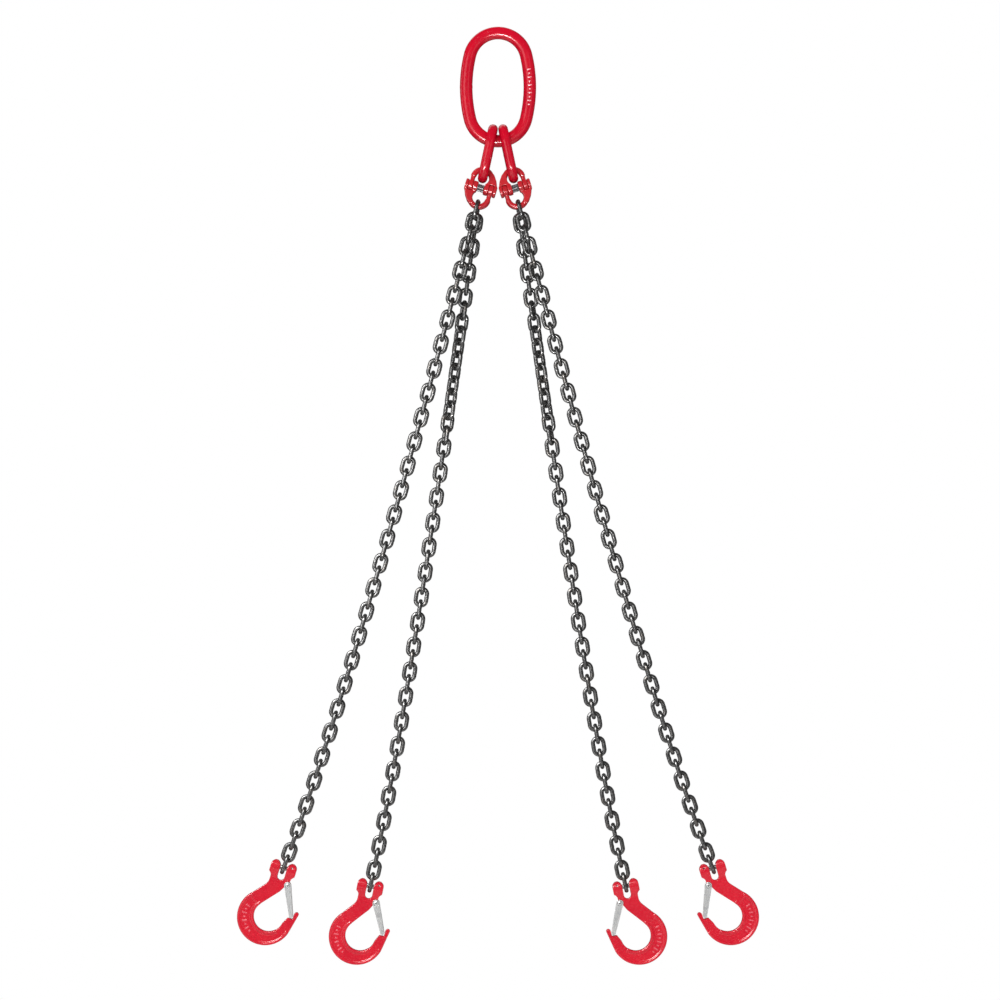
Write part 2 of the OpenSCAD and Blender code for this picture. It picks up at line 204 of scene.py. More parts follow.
def paint_on(mesh, name, values):
    """Gives a mesh a number at each of its points, for its finish to read."""
    mesh.attributes.new(name, "FLOAT", "POINT").data.foreach_set("value", np.asarray(values, float).ravel())


def lathed(name, profile, sides, material, crease=35):
    """A solid of revolution about X. The profile is (place along X, radius), closed by its ends."""
    profile = np.array(profile, float)
    places = np.stack([profile[:, 0], 0 * profile[:, 0], 0 * profile[:, 0]], 1)
    count = len(profile)
    out, across = np.tile([0.0, 1.0, 0.0], (count, 1)), np.tile([0.0, 0.0, 1.0], (count, 1))
    points = tube(places, out, across, profile[:, 1], sides)
    return mesh_of(name, points, quads(count, sides), material, crease=crease)


def pin_end(half, radius, chamfer, dimple):
    """Profile of a turned pin's far end, from the rim of its chamfer to the middle of its dimple."""
    face = half - 0.15 * chamfer
    return [
        (half - chamfer, radius), (half - 0.6 * chamfer, radius - 0.12 * chamfer),
        (face, radius - 0.7 * chamfer), (half, radius - chamfer),
        (half, dimple), (half - 0.35 * dimple, 0.55 * dimple), (half - 0.55 * dimple, 0),
    ]


def mirrored_profile(ends, middle=()):
    """The whole profile of a pin whose ends match."""
    return [(-x, r) for x, r in reversed(ends)] + list(middle) + list(ends)


def split_tube(name, half, bore, outer, gap, steps, edge, material):
    """A tube about X with a slit gap degrees wide on its +Y side. outer gives a radius by angle."""
    angles = np.radians(np.linspace(gap / 2, 360 - gap / 2, steps + 1))
    corner = np.radians(np.arange(0, 91, 30))
    points = []
    for angle, radius in zip(angles, outer(angles)):
        mid, rise = (radius + bore) / 2, (radius - bore) / 2
        for quarter, (side_x, side_r) in enumerate(((1, 1), (-1, 1), (-1, -1), (1, -1))):
            bend = corner if quarter % 2 == 0 else corner[::-1]
            for c in bend:
                x = side_x * (half - edge + edge * np.cos(c))
                r = mid + side_r * (rise - edge + edge * np.sin(c))
                points.append((x, r * np.cos(angle), r * np.sin(angle)))
    around = 4 * len(corner)
    faces = quads(len(angles), around)
    faces += [list(range(around)), list(range(len(points) - around, len(points)))]
    return mesh_of(name, points, faces, material, crease=40)


def wire_along(name, route, radius, sides, material):
    """Round wire along a route, with domed ends."""
    route = np.array(route, float)
    ahead = np.gradient(route, axis=0)
    ahead /= np.linalg.norm(ahead, axis=1)[:, None]
    dome = np.radians((0, 30, 60))
    first = [route[0] - ahead[0] * radius * np.cos(d) for d in dome]
    last = [route[-1] + ahead[-1] * radius * np.cos(d) for d in dome[::-1]]
    tip = radius * np.sin(dome)
    radii = np.concatenate([tip, np.full(len(route), radius), tip[::-1]])
    route = np.concatenate([first, route, last])
    ahead = np.concatenate([[ahead[0]] * 3, ahead, [ahead[-1]] * 3])
    side = np.cross(ahead[0], (0.3, 0.9, 0.2))
    out = []
    for way in ahead:
        side = side - way * side.dot(way)
        side /= np.linalg.norm(side)
        out.append(side)
    out = np.array(out)
    points = tube(route, out, np.cross(ahead, out), radii, sides)
    return mesh_of(name, points, quads(len(route), sides), material)


def forged(name, node, at, voxel, rounds, hold, stamp, material, shaped=None):
    """A CAD node's shape in its part's own frame, with a forging's rounded edges and filled corners.

    hold gives how freely each point may move, from 0 to 1, and stamp how far it stands out after.
    shaped moves the points before that.
    """
    copy = bpy.data.objects.new(name, frame["nodes"][node].data.copy())
    copy.data.transform(at.inverted())
    bpy.context.scene.collection.objects.link(copy)
    remesh = copy.modifiers.new("remesh", "REMESH")
    remesh.mode = "VOXEL"
    remesh.voxel_size = voxel * MM
    mesh = bpy.data.meshes.new_from_object(copy.evaluated_get(bpy.context.evaluated_depsgraph_get()))
    rough = copy.data
    bpy.data.objects.remove(copy)
    bpy.data.meshes.remove(rough)
    mesh.name = name

    count = len(mesh.vertices)
    flat = np.zeros(count * 3)
    mesh.vertices.foreach_get("co", flat)
    points = flat.reshape(-1, 3) / MM
    if shaped:
        shaped(points)
    ends = np.zeros(len(mesh.edges) * 2, int)
    mesh.edges.foreach_get("vertices", ends)
    a, b = ends.reshape(-1, 2).T
    neighbours = np.bincount(ends, minlength=count)[:, None]
    free = 0.5 * hold(points)[:, None]
    for _ in range(rounds):
        total = np.stack([
            np.bincount(a, points[b, axis], count) + np.bincount(b, points[a, axis], count)
            for axis in range(3)
        ], 1)
        points += free * (total / neighbours - points)
    mesh.vertices.foreach_set("co", (points * MM).ravel())
    mesh.update()
    mesh.vertices.foreach_get("normal", flat)
    normals = flat.reshape(-1, 3)
    raised = stamp(points, normals)
    points += normals * raised[:, None]
    mesh.vertices.foreach_set("co", (points * MM).ravel())
    mesh.materials.clear()
    mesh.materials.append(material)
    mesh.shade_smooth()
    mesh.update()
    paint_on(mesh, "raised", raised)
    return mesh


mirror_images = {}


def place(mesh, node, at, side="left"):
    """Puts a mesh where a CAD node is, or its mirror image on the right, to ride on the node's body."""
    if side == "right":
        if mesh.name not in mirror_images:
            image = mesh.copy()
            image.name = mesh.name + "_mirrored"
            image.transform(MIRROR)
            image.flip_normals()
            mirror_images[mesh.name] = image
        mesh = mirror_images[mesh.name]
        at = MIRROR @ at @ MIRROR
    piece = bpy.data.objects.new(node + "_fine", mesh)
    bpy.context.scene.collection.objects.link(piece)
    piece.matrix_world = at
    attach(piece, BODY_OF[node])
    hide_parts(node)
    return piece


# ---- Finishes, worked out in millimetres of each piece's own frame ----

class Finish:
    """A procedural material for one of the record's slots. A CAD material may hold that name already."""

    def __init__(self, slot):
        self.material = bpy.data.materials.new(slot)
        self.material.use_nodes = True
        self.tree = self.material.node_tree
        self.tree.nodes.clear()
        place_in = self.add("ShaderNodeTexCoord").outputs["Object"]
        shift = self.add("ShaderNodeObjectInfo").outputs["Random"]
        scaled = self.add("ShaderNodeVectorMath", {0: place_in, 1: (1 / MM,) * 3}, operation="MULTIPLY")
        away = self.add("ShaderNodeVectorMath", {0: (173, 311, 97), 3: shift}, operation="SCALE")
        self.at = self.add("ShaderNodeVectorMath", {0: scaled.outputs[0], 1: away.outputs[0]}).outputs[0]

    def add(self, kind, inputs=(), **settings):
        node = self.tree.nodes.new(kind)
        for key, value in settings.items():
            setattr(node, key, value)
        for key, value in dict(inputs).items():
            if isinstance(value, bpy.types.NodeSocket):
                self.tree.links.new(value, node.inputs[key])
            else:
                node.inputs[key].default_value = value
        return node

    def noise(self, size, detail=2.0, stretch=(1, 1, 1)):
        """Noise with features about size millimetres across, longer where stretch is more than 1."""
        scale = tuple(1 / (size * s) for s in stretch)
        vector = self.add("ShaderNodeVectorMath", {0: self.at, 1: scale}, operation="MULTIPLY").outputs[0]
        node = self.add("ShaderNodeTexNoise", {"Vector": vector, "Scale": 1, "Detail": detail})
        return node.outputs["Fac"]

    def cells(self, size):
        """Distance to the nearest point of cells about size millimetres across."""
        node = self.add("ShaderNodeTexVoronoi", {"Vector": self.at, "Scale": 1 / size})
        return node.outputs["Distance"]

    def span(self, value, low, high, start=0.0, end=1.0):
        """value from low to high, as start to end with soft ends."""
        node = self.add(
            "ShaderNodeMapRange",
            {"Value": value, "From Min": low, "From Max": high, "To Min": start, "To Max": end},
            interpolation_type="SMOOTHSTEP",
        )
        return node.outputs["Result"]

    def times(self, a, b):
        return self.add("ShaderNodeMath", {0: a, 1: b}, operation="MULTIPLY").outputs[0]

    def plus(self, a, b):
        return self.add("ShaderNodeMath", {0: a, 1: b}, operation="ADD").outputs[0]

    def mix(self, share, a, b):
        first, second = (c if isinstance(c, bpy.types.NodeSocket) else (*c, 1) for c in (a, b))
        return self.add("ShaderNodeMix", {0: share, 6: first, 7: second}, data_type="RGBA").outputs[2]

    def edges(self, low, high):
        """1 on outer edges and 0 on flat and hollow places."""
        return self.span(self.add("ShaderNodeNewGeometry").outputs["Pointiness"], low, high)

    def hollows(self, low, high):
        """1 in creases and 0 on flat places."""
        return self.span(self.add("ShaderNodeNewGeometry").outputs["Pointiness"], high, low)

    def painted(self, name):
        """A number that the mesh holds at each of its points."""
        return self.add("ShaderNodeAttribute", attribute_name=name).outputs["Fac"]

    def bump(self, height, depth, under=None):
        """A surface that rises by depth millimetres as height goes from 0 to 1."""
        inputs = {"Height": height, "Distance": depth * MM, "Strength": 1}
        if under:
            inputs["Normal"] = under
        return self.add("ShaderNodeBump", inputs).outputs["Normal"]

    def done(self, **inputs):
        names = {"colour": "Base Color", "coat": "Coat Weight", "coat_roughness": "Coat Roughness",
                 "coat_normal": "Coat Normal", "gleam": "Specular IOR Level"}
        values = {names.get(key, key.capitalize()): value for key, value in inputs.items()}
        shader = self.add("ShaderNodeBsdfPrincipled", values)
        self.add("ShaderNodeOutputMaterial", {"Surface": shader.outputs[0]})
        return self.material


def from_srgb(red, green, blue):
    """Linear colour from screen values out of 255."""
    levels = (red / 255, green / 255, blue / 255)
    return tuple(v / 12.92 if v <= 0.04045 else ((v + 0.055) / 1.055) ** 2.4 for v in levels)


def enamel(name, colour, deep, thin_paint_and_sheen, proud, roughness, coat, peel, grit):
    """Baked paint: a drifting tone, paler on edges from thin paint and a painted highlight, proud marks paled as a
    painted highlight, painted shade in creases, a few nicks.

    peel and grit are the depths of its orange peel and of its fine grain.
    """
    f = Finish(name)
    drift = f.span(f.noise(38), 0.35, 0.68)
    mottle = f.span(f.noise(2.4, 4), 0.3, 0.75)
    tone = f.mix(f.times(drift, 0.7), colour, deep)
    tone = f.mix(f.times(mottle, 0.06), tone, thin_paint_and_sheen)
    # Pale edges: partly paint worn thin on edges, partly a painted highlight along convex edges.
    edge = f.times(f.edges(0.508, 0.58), f.span(f.noise(1.3, 3), 0.25, 0.6, 0.5, 1))
    tone = f.mix(f.times(edge, 0.6), tone, thin_paint_and_sheen)
    # Painted shade: creases and gaps between forged parts darkened towards a quarter of the deep colour.
    tone = f.mix(f.times(f.hollows(0.44, 0.487), 0.7), tone, tuple(0.25 * level for level in deep))
    # Painted highlight: proud marks such as the tally bars paled towards the proud colour, standing in for glints
    # on them.
    tone = f.mix(f.span(f.painted("raised"), 0.25, 0.42, 0, 0.85), tone, proud)
    nick = f.times(f.span(f.cells(9), 0.035, 0.02), f.span(f.noise(30), 0.5, 0.6))
    tone = f.mix(nick, tone, (0.035, 0.012, 0.014))
    rough = f.plus(f.span(f.noise(9, 2), 0.3, 0.7, roughness - 0.03, roughness + 0.04), f.times(nick, 0.3))
    skin = f.bump(f.noise(1.7, 1), peel)
    skin = f.bump(f.noise(0.42, 3), grit, skin)
    skin = f.bump(nick, -0.04, skin)
    return f.done(colour=tone, roughness=rough, normal=skin, gleam=0.28, coat=coat, coat_roughness=0.09,
                  coat_normal=f.bump(f.noise(2.6, 1), peel))


def chain_steel():
    """Blackened chain: oxide mottling, a scale that breaks on ridges, burnished where links bear."""
    f = Finish("chain_steel")
    mottle = f.span(f.noise(3.2, 5), 0.3, 0.7)
    tone = f.mix(mottle, (0.062, 0.064, 0.067), (0.172, 0.169, 0.165))
    tone = f.mix(f.times(f.span(f.noise(14), 0.52, 0.7), 0.5), tone, (0.160, 0.140, 0.122))
    heat = f.times(f.painted("heat"), f.span(f.noise(1.5), 0.3, 0.6, 0.5, 1))
    tone = f.mix(f.times(heat, 0.6), tone, (0.060, 0.075, 0.120))
    scuff = f.times(f.span(f.noise(0.9, 4, (1, 1, 3)), 0.55, 0.68), 0.6)
    bare = f.plus(f.times(f.painted("wear"), f.span(f.noise(0.8, 3), 0.25, 0.55, 0.4, 1)), scuff)
    tone = f.mix(bare, tone, (0.56, 0.55, 0.54))
    rough = f.plus(f.span(mottle, 0, 1, 0.36, 0.27), f.times(bare, -0.06))
    skin = f.bump(f.noise(0.5, 4), 0.012)
    skin = f.bump(f.noise(3, 2), 0.03, skin)
    return f.done(colour=tone, metallic=0.85, roughness=rough, normal=skin)


def turned_steel():
    """Ground pin steel: fine rings round the pin's axis and a straw tint that drifts."""
    f = Finish("pin_steel")
    rings = f.noise(0.16, 2, (1, 60, 60))
    tone = f.mix(f.span(f.noise(6), 0.35, 0.7), (0.42, 0.41, 0.40), (0.56, 0.55, 0.53))
    tone = f.mix(f.times(f.span(f.noise(2.2, 4), 0.58, 0.7), 0.6), tone, (0.16, 0.13, 0.11))
    rough = f.span(rings, 0.3, 0.7, 0.24, 0.38)
    return f.done(colour=tone, metallic=1.0, roughness=rough, normal=f.bump(rings, 0.006))


def sleeve_black():
    """Black phosphate on the split sleeve, paler grey along the tops of its ribs: partly rubbed, partly a painted
    highlight.
    """
    f = Finish("sleeve_black")
    rub_and_sheen = f.times(f.edges(0.505, 0.55), f.span(f.noise(1.1, 3), 0.3, 0.6, 0.3, 1))
    tone = f.mix(f.span(f.noise(2), 0.35, 0.65), (0.014, 0.015, 0.017), (0.032, 0.033, 0.036))
    # Rib tops paled: partly phosphate rubbed off, partly a painted highlight along the ribs.
    tone = f.mix(f.times(rub_and_sheen, 0.8), tone, (0.36, 0.36, 0.37))
    return f.done(colour=tone, metallic=0.35, roughness=f.span(rub_and_sheen, 0, 1, 0.5, 0.34),
                  normal=f.bump(f.noise(0.35, 3), 0.01))


def latch_zinc():
    """Zinc plate on rolled sheet: grain along the latch, faint spangle, duller handling marks, and painted shade
    in the rivet's groove and dimples.
    """
    f = Finish("latch_zinc")
    grain = f.noise(0.22, 3, (1, 1, 45))
    spangle = f.span(f.cells(4.5), 0.1, 0.6)
    tone = f.mix(spangle, (0.68, 0.69, 0.70), (0.79, 0.79, 0.78))
    tone = f.mix(f.times(f.span(f.noise(7, 3), 0.52, 0.7), 0.5), tone, (0.46, 0.47, 0.49))
    # Painted shade: where raised is below zero, in the rivet's groove in each cheek and its dimples, darkened
    # almost to black.
    tone = f.mix(f.span(f.painted("raised"), -0.04, -0.18, 0, 0.85), tone, (0.07, 0.07, 0.075))
    rough = f.plus(f.span(grain, 0.3, 0.7, 0.26, 0.36), f.span(spangle, 0, 1, 0.04, 0))
    return f.done(colour=tone, metallic=0.5, roughness=rough, normal=f.bump(grain, 0.0015))


def spring_steel():
    """Oil-tempered spring wire: dark, with drawing lines and brown tempering colour."""
    f = Finish("spring_steel")
    tone = f.mix(f.span(f.noise(4), 0.35, 0.7), (0.10, 0.09, 0.085), (0.20, 0.17, 0.14))
    grain = f.noise(0.12, 2)
    return f.done(colour=tone, metallic=0.95, roughness=f.span(grain, 0.3, 0.7, 0.26, 0.42),
                  normal=f.bump(grain, 0.004))


def finishes():
    return {
        # Each paint's pale edge colour is worn paint and a painted highlight, and its proud colour a painted
        # highlight on proud marks.
        "link": enamel(
            "link_paint", colour=from_srgb(214, 0, 38), deep=from_srgb(200, 0, 36),
            thin_paint_and_sheen=from_srgb(232, 40, 70), proud=from_srgb(255, 172, 184),
            roughness=0.24, coat=0.45, peel=0.004, grit=0.001),
        "coupling": enamel(
            "coupling_paint", colour=from_srgb(206, 34, 44), deep=from_srgb(186, 24, 38),
            thin_paint_and_sheen=from_srgb(236, 104, 104), proud=from_srgb(240, 116, 114),
            roughness=0.30, coat=0.6, peel=0.008, grit=0.003),
        "hook": enamel(
            "hook_paint", colour=from_srgb(230, 24, 48), deep=from_srgb(218, 12, 44),
            thin_paint_and_sheen=from_srgb(244, 92, 108), proud=from_srgb(250, 112, 126),
            roughness=0.26, coat=0.45, peel=0.005, grit=0.0015),
        "chain": chain_steel(),
        "pin": turned_steel(),
        "sleeve": sleeve_black(),
        "zinc": latch_zinc(),
        "spring": spring_steel(),
    }


# ---- Frames of the left side's parts, from the joints ----

def seat(joint):
    return Vector(JOINTS[joint]["pos_m"])


def framed(origin, x, y, z):
    turn = Matrix((x, y, z)).transposed().to_4x4()
    return Matrix.Translation(origin) @ turn


def intermediate_frame():
    """Middle of the link, with the ring's plane as XZ and Z up along it."""
    joint = JOINTS["intermediate_left_swing"]
    normal, across = Vector(joint["axis"]).normalized(), Vector((0, 1, 0))
    up = normal.cross(across)
    middle = Vector(joint["pos_m"]) - up * INTER_STRAIGHT / 2 * MM
    return framed(middle, across, -normal, up)


def coupling_frame(leg):
    """Middle of the load pin, with X along it. The bow's centre lies to one side of Z."""
    pin = seat(f"coupling_{leg}_left_pin_turn")
    y = Vector(JOINTS[f"coupling_{leg}_left_swing"]["axis"]).normalized()
    bow = (seat(f"coupling_{leg}_left_swing") - pin).normalized()
    beside = y.cross(bow)
    size = (BOW_OFF ** 2 + BOW_H ** 2) ** 0.5
    x = (beside * BOW_H - bow * BOW_OFF) / size
    z = (bow * BOW_H + beside * BOW_OFF) / size
    return framed(pin, x, y, z)


def hook_frame(leg):
    """Middle of the clevis pin, with X towards the throat and the bowl below."""
    pin = seat(f"hook_{leg}_left_pin_turn")
    arm = seat(f"latch_{leg}_left_open") - pin
    lean = atan2(PIVOT[2], PIVOT[0]) - atan2(arm.z, arm.x)
    return Matrix.Translation(pin) @ Matrix.Rotation(lean, 4, "Y")


def local(point):
    return Matrix.Translation(Vector(point) * MM)


# ---- Master link and intermediate links ----

def master_link(paint):
    low, high = (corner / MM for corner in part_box("master_link"))
    bar = high.z
    half_w, half_l = high.x - bar / 2, (high.z - low.z - bar) / 2
    rise = half_l - MASTER_END_R
    side_r = (half_w ** 2 + rise ** 2 - MASTER_END_R ** 2) / (2 * (half_w - MASTER_END_R))
    meet = degrees(atan2(rise, side_r - half_w))
    mark_reach, fine, coarse = 32, 0.5, 1.5
    turn = degrees(mark_reach / side_r) + 0.2
    right = (half_w - side_r, 0, 0)
    stations = joined(
        arc((0, 0, rise), MASTER_END_R, meet, 180 - 2 * meet, coarse),
        arc((side_r - half_w, 0, 0), side_r, 180 - meet, 2 * meet, coarse),
        arc((0, 0, -rise), MASTER_END_R, 180 + meet, 180 - 2 * meet, coarse),
        arc(right, side_r, -meet, meet - turn, coarse),
        arc(right, side_r, -turn, 2 * turn, fine),
        arc(right, side_r, turn, meet - turn, coarse),
    )

    def swell(places, turns):
        # generic tally bars on the front of the right limb stand in for its lettering
        aside = (turns - 1.5 * pi) * bar / 2
        along = np.where(places[:, 0] > 0, places[:, 2], 1e3)
        tally = 0.45 * marks(along[:, None], aside[None, :], 6.5, mark_reach)
        return tally + weld_bead(places, (-half_w, 0, 0), 2.2, 0.22)

    mesh = bar_ring("master_link", stations, bar, 112, swell, paint)
    place(mesh, "master_link", local((0, 0, (high.z + low.z) / 2)))


def intermediate_links(paint):
    def swell(places, turns):
        return weld_bead(places, (INTER_R, 0, 0), 1.8, 0.2) + 0 * turns[None, :]

    mesh = bar_ring("intermediate_link", oval(INTER_R, INTER_STRAIGHT, 1.3), INTER_BAR, 64, swell, paint)
    for side in SIDES:
        place(mesh, f"intermediate_link_{side}", intermediate_frame(), side)


# ---- Couplings ----

def coupling_hold(points):
    """The lugs and their bore keep their shape; the bow and the arm round off."""
    from_pin = np.hypot(points[:, 1], points[:, 2])
    return 0.3 + 0.7 * (1 - plateau(from_pin, LUG_R, 3))


def coupling_flash(points, normals):
    """The trimmed flash line along the outside of a bow."""
    way = np.sign(points[:, 2])
    out_x, out_z = points[:, 0] + BOW_OFF * way, points[:, 2] - BOW_H * way
    facing = out_x * normals[:, 0] + out_z * normals[:, 2]
    on_bow = (facing > 8) & (np.abs(normals[:, 1]) < 0.5) & (out_z * way > -3.75)
    return 0.28 * np.exp(-(points[:, 1] / 0.75) ** 2) * on_bow


def sleeve_outline(angles):
    """Radius of the sleeve with flutes evenly between the slit's two edges."""
    pitch = 2 * pi / (FLUTES + 1)
    aside = (angles + pitch / 2) % pitch - pitch / 2
    fluted = (angles > pitch / 2) & (angles < 2 * pi - pitch / 2)
    return SLEEVE_R - 0.95 * plateau(aside * SLEEVE_R, 0.62, 0.7) * fluted


def couplings(looks):
    at = {leg: coupling_frame(leg) for leg in LEGS}
    halves = {
        half: forged(f"coupling_{half}", f"coupling_outer_left_{half}", at["outer"], 0.42, 26,
                     coupling_hold, coupling_flash, looks["coupling"])
        for half in ("upper", "lower")
    }
    ends = pin_end(LOAD_PIN_HALF, LOAD_PIN_R, 0.8, 1.1)
    pin = lathed("coupling_pin", mirrored_profile(ends), 48, looks["pin"])
    sleeve = split_tube("coupling_sleeve", SLEEVE_HALF, LOAD_PIN_R + 0.12, sleeve_outline, 14, 200, 0.3,
                        looks["sleeve"])
    for leg in LEGS:
        for side in SIDES:
            name = f"coupling_{leg}_{side}_"
            for half, mesh in halves.items():
                place(mesh, name + half, at[leg], side)
            place(pin, name + "pin", at[leg], side)
            place(sleeve, name + "sleeve", at[leg], side)


# ---- Chain ----

def down(lean):
    return np.array([-np.sin(np.radians(lean)), 0, -np.cos(np.radians(lean))])


def lean_of(leg, link):
    top, steady, late, _ = LEAN[leg]
    share = (link - 1) / (LINKS - 1)
    return top + steady * share + late * share ** 6


def roll_of(leg, link):
    """Every second link is turned by a quarter, and a twisted stretch comes and goes."""
    twist = LEAN[leg][3] * min(1, max(0, min(link - 8, 20 - link) / 3))
    return (90 if link % 2 else 0) + twist


def link_centres(leg):
    """Centres of a left leg's links in millimetres, worked upward from the hook's clevis pin."""
    half = (LINK_L + WIRE) / 2
    pin = np.array(seat(f"hook_{leg}_left_pin_turn")) / MM
    centre = pin - (half - CLEVIS_PIN_R - WIRE / 2 - PLAY) * down(lean_of(leg, LINKS))
    centres = {LINKS: centre}
    for link in range(LINKS - 1, 0, -1):
        above, below = lean_of(leg, link), lean_of(leg, link + 1)
        hop = half * (down(above) + down(below)) - (WIRE + PLAY) * down((above + below) / 2)
        centre = centre - hop
        centres[link] = centre
    return centres


def one_link():
    """A link's points, its faces, and how worn and how heated by welding each point is."""
    radius = (LINK_W - WIRE) / 2
    length = LINK_L + WIRE - 2 * radius
    places, out = oval(radius, length, 1.3)
    sides = 18
    across = np.tile([0.0, 1.0, 0.0], (len(places), 1))
    radii = WIRE / 2 + weld_bead(places, (radius, 0, 0), 1.4, 0.26)
    points = tube(places, out, across, radii, sides)
    crown = length / 2 + radius - WIRE / 2
    from_crown = np.linalg.norm(np.abs(points) - (0, 0, crown), axis=1)
    wear = np.exp(-(from_crown / 2.6) ** 2)
    heat = np.exp(-(points[:, 2] / 4) ** 2) * (points[:, 0] > 0)
    return points, np.array(quads(len(places), sides, ring=True)), wear, heat


def chains(steel):
    points, faces, wear, heat = one_link()
    for leg in LEGS:
        centres = link_centres(leg)
        for part, (above, last) in enumerate(zip(SEGMENT_ENDS, SEGMENT_ENDS[1:]), 1):
            here = range(above + 1, last + 1)
            middle = sum(centres[link] for link in here) / len(here)
            placed = []
            for link in here:
                lean, roll = radians(lean_of(leg, link)), radians(roll_of(leg, link))
                # every third link has its weld on the other side
                flip = pi * (link % 3 == 0)
                turn = Matrix.Rotation(lean, 3, "Y") @ Matrix.Rotation(roll + flip, 3, "Z")
                placed.append(points @ np.array(turn).T + centres[link] - middle)
            count = len(here)
            all_faces = np.concatenate([faces + len(points) * n for n in range(count)])
            mesh = mesh_of(
                f"chain_{leg}_{part}", np.concatenate(placed), all_faces.tolist(), steel, merge=False)
            for name, values in (("wear", wear), ("heat", heat)):
                paint_on(mesh, name, np.tile(values, count))
            for side in SIDES:
                place(mesh, f"chain_{leg}_{side}_{part}", local(middle), side)


# ---- Hooks ----

def hook_hold(points):
    """Bores, pocket and spring-pin holes keep their shape; everything else rounds off."""
    from_pin = np.hypot(points[:, 1], points[:, 2])
    from_pivot = np.hypot(points[:, 0] - PIVOT[0], points[:, 2] - PIVOT[2])
    from_spring_pin = np.hypot(points[:, 0] - SPRING_PIN_AT[0], points[:, 2] - SPRING_PIN_AT[2])
    held = np.maximum(plateau(from_pin, 5.4, 1.6), plateau(from_pivot, 6.4, 1.2))
    held = np.maximum(held, plateau(from_spring_pin, 2.6, 1.2))
    return 1 - 0.82 * held


def ears_rounded(points):
    """Draws the tops of the clevis ears in towards their middles, as round lobes."""
    height = np.clip((points[:, 2] - 1) / 10, 0, 1)
    middle = EAR_X * np.sign(points[:, 0])
    points[:, 0] = middle + (points[:, 0] - middle) * np.sqrt(1 - 0.6 * height ** 2)


def hook_stamp(points, normals):
    """Generic tally bars on both faces of the bowl, and the trimmed flash line round its back."""
    from_back = points[:, [0, 2]] - BACK_C
    radius = np.hypot(*from_back.T)
    angle = np.degrees(np.arctan2(from_back[:, 1], from_back[:, 0])) % 360
    row_r, row_middle = 34.4, 200
    along = np.radians(angle - row_middle) * row_r
    on_face = (np.abs(normals[:, 1]) > 0.8) & (np.abs(points[:, 1]) < 6.2)
    tally = 0.5 * marks(along, radius - row_r, 6.5, 26) * on_face
    on_back = (radius > BACK_R - 2) & (points[:, 2] < -52) & (np.abs(normals[:, 1]) < 0.4)
    return tally + 0.2 * np.exp(-(points[:, 1] / 0.8) ** 2) * on_back


def latch_frame_in_hook():
    """The rivet's middle, with the latch's tip straight down."""
    reach = Vector(LATCH_TIP) - Vector(PIVOT)
    return local(PIVOT) @ Matrix.Rotation(-atan2(reach.x, -reach.z), 4, "Y")


def latch_hold(points):
    """The folds round off most, and the rivet's hole keeps its shape."""
    from_rivet = np.hypot(points[:, 0], points[:, 2])
    at_side = plateau(np.abs(points[:, 1]) - CHEEK_Y - SHEET, 1.6, 1.0)
    at_fold = at_side * plateau(points[:, 0] - EYE_R, 3, 1.5) * (points[:, 2] < -WEB_TOP)
    return (0.35 + 0.65 * at_fold) * (1 - 0.7 * plateau(from_rivet, 3.0, 0.8))


def latch_groove(points, normals):
    """The ring that the rivet's peened head presses into each cheek."""
    ring = plateau(np.hypot(points[:, 0], points[:, 2]) - 4.1, 0.35, 0.4)
    # The groove's depth, kept as raised, is also where the zinc finish paints shade into the ring.
    return -0.2 * ring * (np.abs(normals[:, 1]) > 0.7)


def rivet_profile():
    """Shank between the cheeks, and a domed head with a dimple at each end."""
    foot = CHEEK_Y + SHEET + 0.12
    rise, crown = 1.35, 1.3
    angles = np.radians((0, 25, 50, 75, 90))
    dome = [(foot + rise * np.sin(t), crown + (RIVET_HEAD_R - crown) * np.cos(t)) for t in angles]
    ends = [(foot - 0.01, RIVET_R), (foot, RIVET_HEAD_R - 0.15)] + dome
    ends += [(foot + rise - 0.45, 1.0), (foot + rise - 0.65, 0.5), (foot + rise - 0.7, 0)]
    return mirrored_profile(ends)


def spring_route():
    """Half of the latch's double torsion spring, from the bridge's middle to the coil's tail."""
    coil_r, coil_y, pitch, turns, leg, bend = 3.05, 5.6, 1.1, 2, 19, 1.4
    route = [(coil_r, y, -leg) for y in np.linspace(0, coil_y - bend, 5)]
    for t in np.radians(np.arange(15, 91, 15)):
        route.append((coil_r, coil_y - bend + bend * np.sin(t), -leg + bend - bend * np.cos(t)))
    route += [(coil_r, coil_y, z) for z in np.linspace(bend - leg, 0, 12)[1:-1]]
    for t in np.linspace(0, turns * 2 * pi, 24 * turns + 1):
        route.append((coil_r * np.cos(t), coil_y - pitch * t / (2 * pi), coil_r * np.sin(t)))
    tail = 3.6
    route += [(coil_r, coil_y - pitch * turns, z) for z in np.linspace(0, tail, 4)[1:]]
    return route


